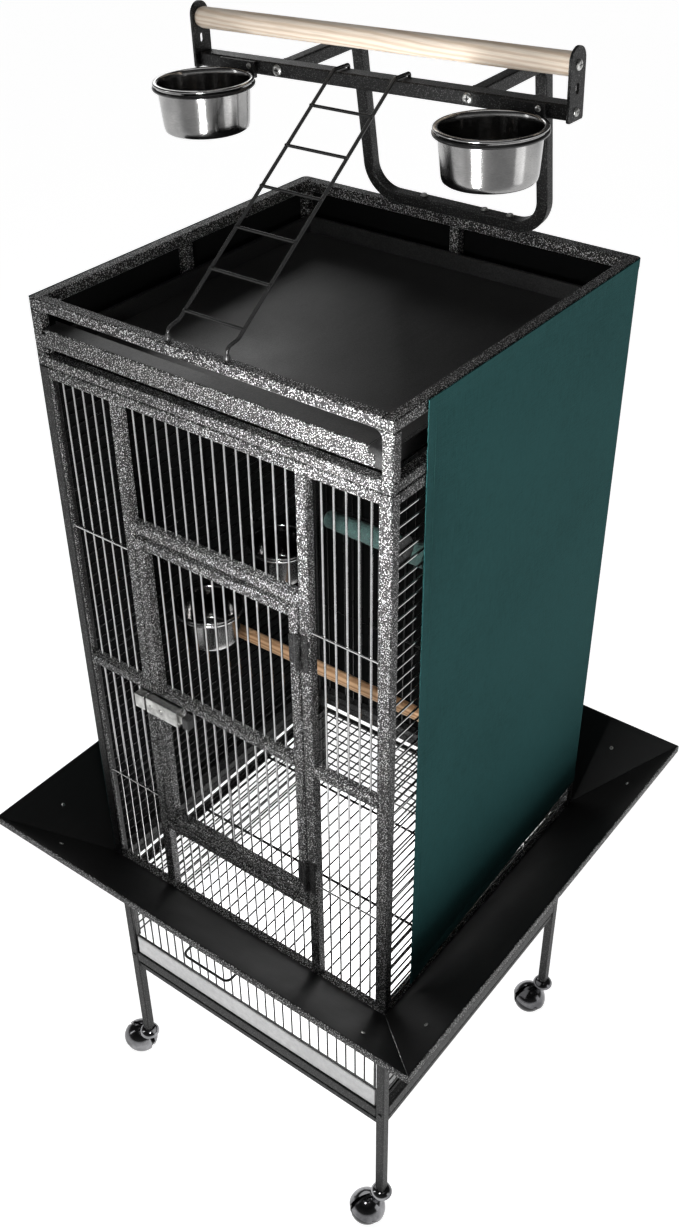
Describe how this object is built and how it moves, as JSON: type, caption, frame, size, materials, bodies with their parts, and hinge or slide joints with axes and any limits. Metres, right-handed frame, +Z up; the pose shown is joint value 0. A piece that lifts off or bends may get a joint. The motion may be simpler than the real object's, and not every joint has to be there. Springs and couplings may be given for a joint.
{
  "type": "bird cage on stand",
  "caption": "Wire bird cage with a play-top frame, crossbar and ladder, on a wheeled stand with pull-out trays and seed aprons.",
  "frame": {"origin": "on the floor below the middle of the cage body", "axes": "+Z up, front with the door faces -Y, +X along the front"},
  "size_m": [0.666, 0.666, 1.5107],
  "materials": {
    "hammertone": "hammered black and silver powder coat",
    "satin_black": "satin black sheet",
    "white_tray": "pale semi-gloss sheet",
    "chrome": "polished",
    "steel": "polished stainless",
    "zinc": "zinc plated",
    "pine": "plain turned pine",
    "mineral": "rough grit",
    "cloth": "fine woven cloth"
  },
  "bodies": {
    "cage": {"apron_front": "satin_black", "apron_left": "satin_black", "apron_rear": "satin_black", "apron_right": "satin_black", "bolts": "zinc", "crossbar": "hammertone", "cup_ring_left": "hammertone", "cup_ring_right": "hammertone", "door_hinges": "hammertone", "drawer_runners": "hammertone", "end_plates": "hammertone", "front_bottom_grille": "hammertone", "front_left_grille": "hammertone", "front_right_grille": "hammertone", "front_top_grille": "hammertone", "inner_cup_rings": "hammertone", "inner_perch": "pine", "latch_keeper": "zinc", "left_panel": "hammertone", "leg_front_left": "hammertone", "leg_front_right": "hammertone", "leg_rear_left": "hammertone", "leg_rear_right": "hammertone", "mineral_perch": "mineral", "play_perch": "pine", "playstand_tube": "hammertone", "playtop_front": "hammertone", "playtop_left": "hammertone", "playtop_rear": "hammertone", "playtop_right": "hammertone", "rear_panel": "hammertone", "right_panel": "hammertone", "roof_panel": "hammertone", "stand_front_low_rails": "hammertone", "stand_front_top_rail": "hammertone", "stand_rear": "hammertone", "stand_side_left": "hammertone", "stand_side_right": "hammertone"},
    "caster_fl": {"caster_fork_fl": "chrome"},
    "caster_fr": {"caster_fork_fr": "chrome"},
    "caster_rl": {"caster_fork_rl": "chrome"},
    "caster_rr": {"caster_fork_rr": "chrome"},
    "wheel_fl": {"caster_ball_fl": "chrome"},
    "wheel_fr": {"caster_ball_fr": "chrome"},
    "wheel_rl": {"caster_ball_rl": "chrome"},
    "wheel_rr": {"caster_ball_rr": "chrome"},
    "litter_tray": {"litter_tray": "white_tray"},
    "grate": {"grate_floor": "hammertone", "grate_front": "hammertone", "grate_handle": "hammertone"},
    "door": {"door": "hammertone", "latch_housing": "zinc"},
    "latch_bolt": {"latch_bolt": "zinc"},
    "play_tray": {"play_tray": "satin_black"},
    "ladder": {"ladder": "hammertone"},
    "cup_left": {"cup_left": "steel"},
    "cup_right": {"cup_right": "steel"},
    "inner_cup_front": {"inner_cup_front": "steel"},
    "inner_cup_rear": {"inner_cup_rear": "steel"},
    "cover": {"cover": "cloth"}
  },
  "joints": [
    {"name": "swivel_fl", "type": "hinge", "parent": "cage", "child": "caster_fl", "pos_m": [-0.22215, -0.22215, 0.06], "axis": [0, 0, 1], "continuous": true},
    {"name": "roll_fl", "type": "hinge", "parent": "caster_fl", "child": "wheel_fl", "pos_m": [-0.24312, -0.22325, 0.024], "axis": [0.0523, -0.9986, 0], "continuous": true},
    {"name": "swivel_fr", "type": "hinge", "parent": "cage", "child": "caster_fr", "pos_m": [0.22215, -0.22215, 0.06], "axis": [0, 0, 1], "continuous": true},
    {"name": "roll_fr", "type": "hinge", "parent": "caster_fr", "child": "wheel_fr", "pos_m": [0.2101, -0.23935, 0.024], "axis": [0.8192, -0.5736, 0], "continuous": true},
    {"name": "swivel_rl", "type": "hinge", "parent": "cage", "child": "caster_rl", "pos_m": [-0.22215, 0.22215, 0.06], "axis": [0, 0, 1], "continuous": true},
    {"name": "roll_rl", "type": "hinge", "parent": "caster_rl", "child": "wheel_rl", "pos_m": [-0.23956, 0.21041, 0.024], "axis": [0.5592, -0.829, 0], "continuous": true},
    {"name": "swivel_rr", "type": "hinge", "parent": "cage", "child": "caster_rr", "pos_m": [0.22215, 0.22215, 0.06], "axis": [0, 0, 1], "continuous": true},
    {"name": "roll_rr", "type": "hinge", "parent": "caster_rr", "child": "wheel_rr", "pos_m": [0.20922, 0.2056, 0.024], "axis": [0.788, -0.6157, 0], "continuous": true},
    {"name": "litter_tray_slide", "type": "slide", "parent": "cage", "child": "litter_tray", "axis": [0, -1, 0], "range_m": [0, 0.4]},
    {"name": "grate_slide", "type": "slide", "parent": "cage", "child": "grate", "axis": [0, -1, 0], "range_m": [0, 0.38]},
    {"name": "play_tray_slide", "type": "slide", "parent": "cage", "child": "play_tray", "axis": [0, -1, 0], "range_m": [0, 0.38]},
    {"name": "door_hinge", "type": "hinge", "parent": "cage", "child": "door", "pos_m": [0.1145, -0.232, 0.8], "axis": [0, 0, 1], "range_deg": [0, 165]},
    {"name": "latch_slide", "type": "slide", "parent": "door", "child": "latch_bolt", "axis": [-1, 0, 0], "range_m": [0, 0.0065]},
    {"name": "ladder_lift", "type": "slide", "parent": "cage", "child": "ladder", "axis": [0, 0, 1], "range_m": [0, 0.015]},
    {"name": "cup_left_lift", "type": "slide", "parent": "cage", "child": "cup_left", "axis": [-0.0349, 0, 0.9994], "range_m": [0, 0.055]},
    {"name": "cup_right_lift", "type": "slide", "parent": "cage", "child": "cup_right", "axis": [-0.0349, 0, 0.9994], "range_m": [0, 0.055]},
    {"name": "inner_cup_front_lift", "type": "slide", "parent": "cage", "child": "inner_cup_front", "axis": [0, 0, 1], "range_m": [0, 0.05]},
    {"name": "inner_cup_rear_lift", "type": "slide", "parent": "cage", "child": "inner_cup_rear", "axis": [0, 0, 1], "range_m": [0, 0.05]},
    {"name": "cover_lift", "type": "slide", "parent": "cage", "child": "cover", "axis": [0, 0, 1], "range_m": [0, 0.15]}
  ]
}
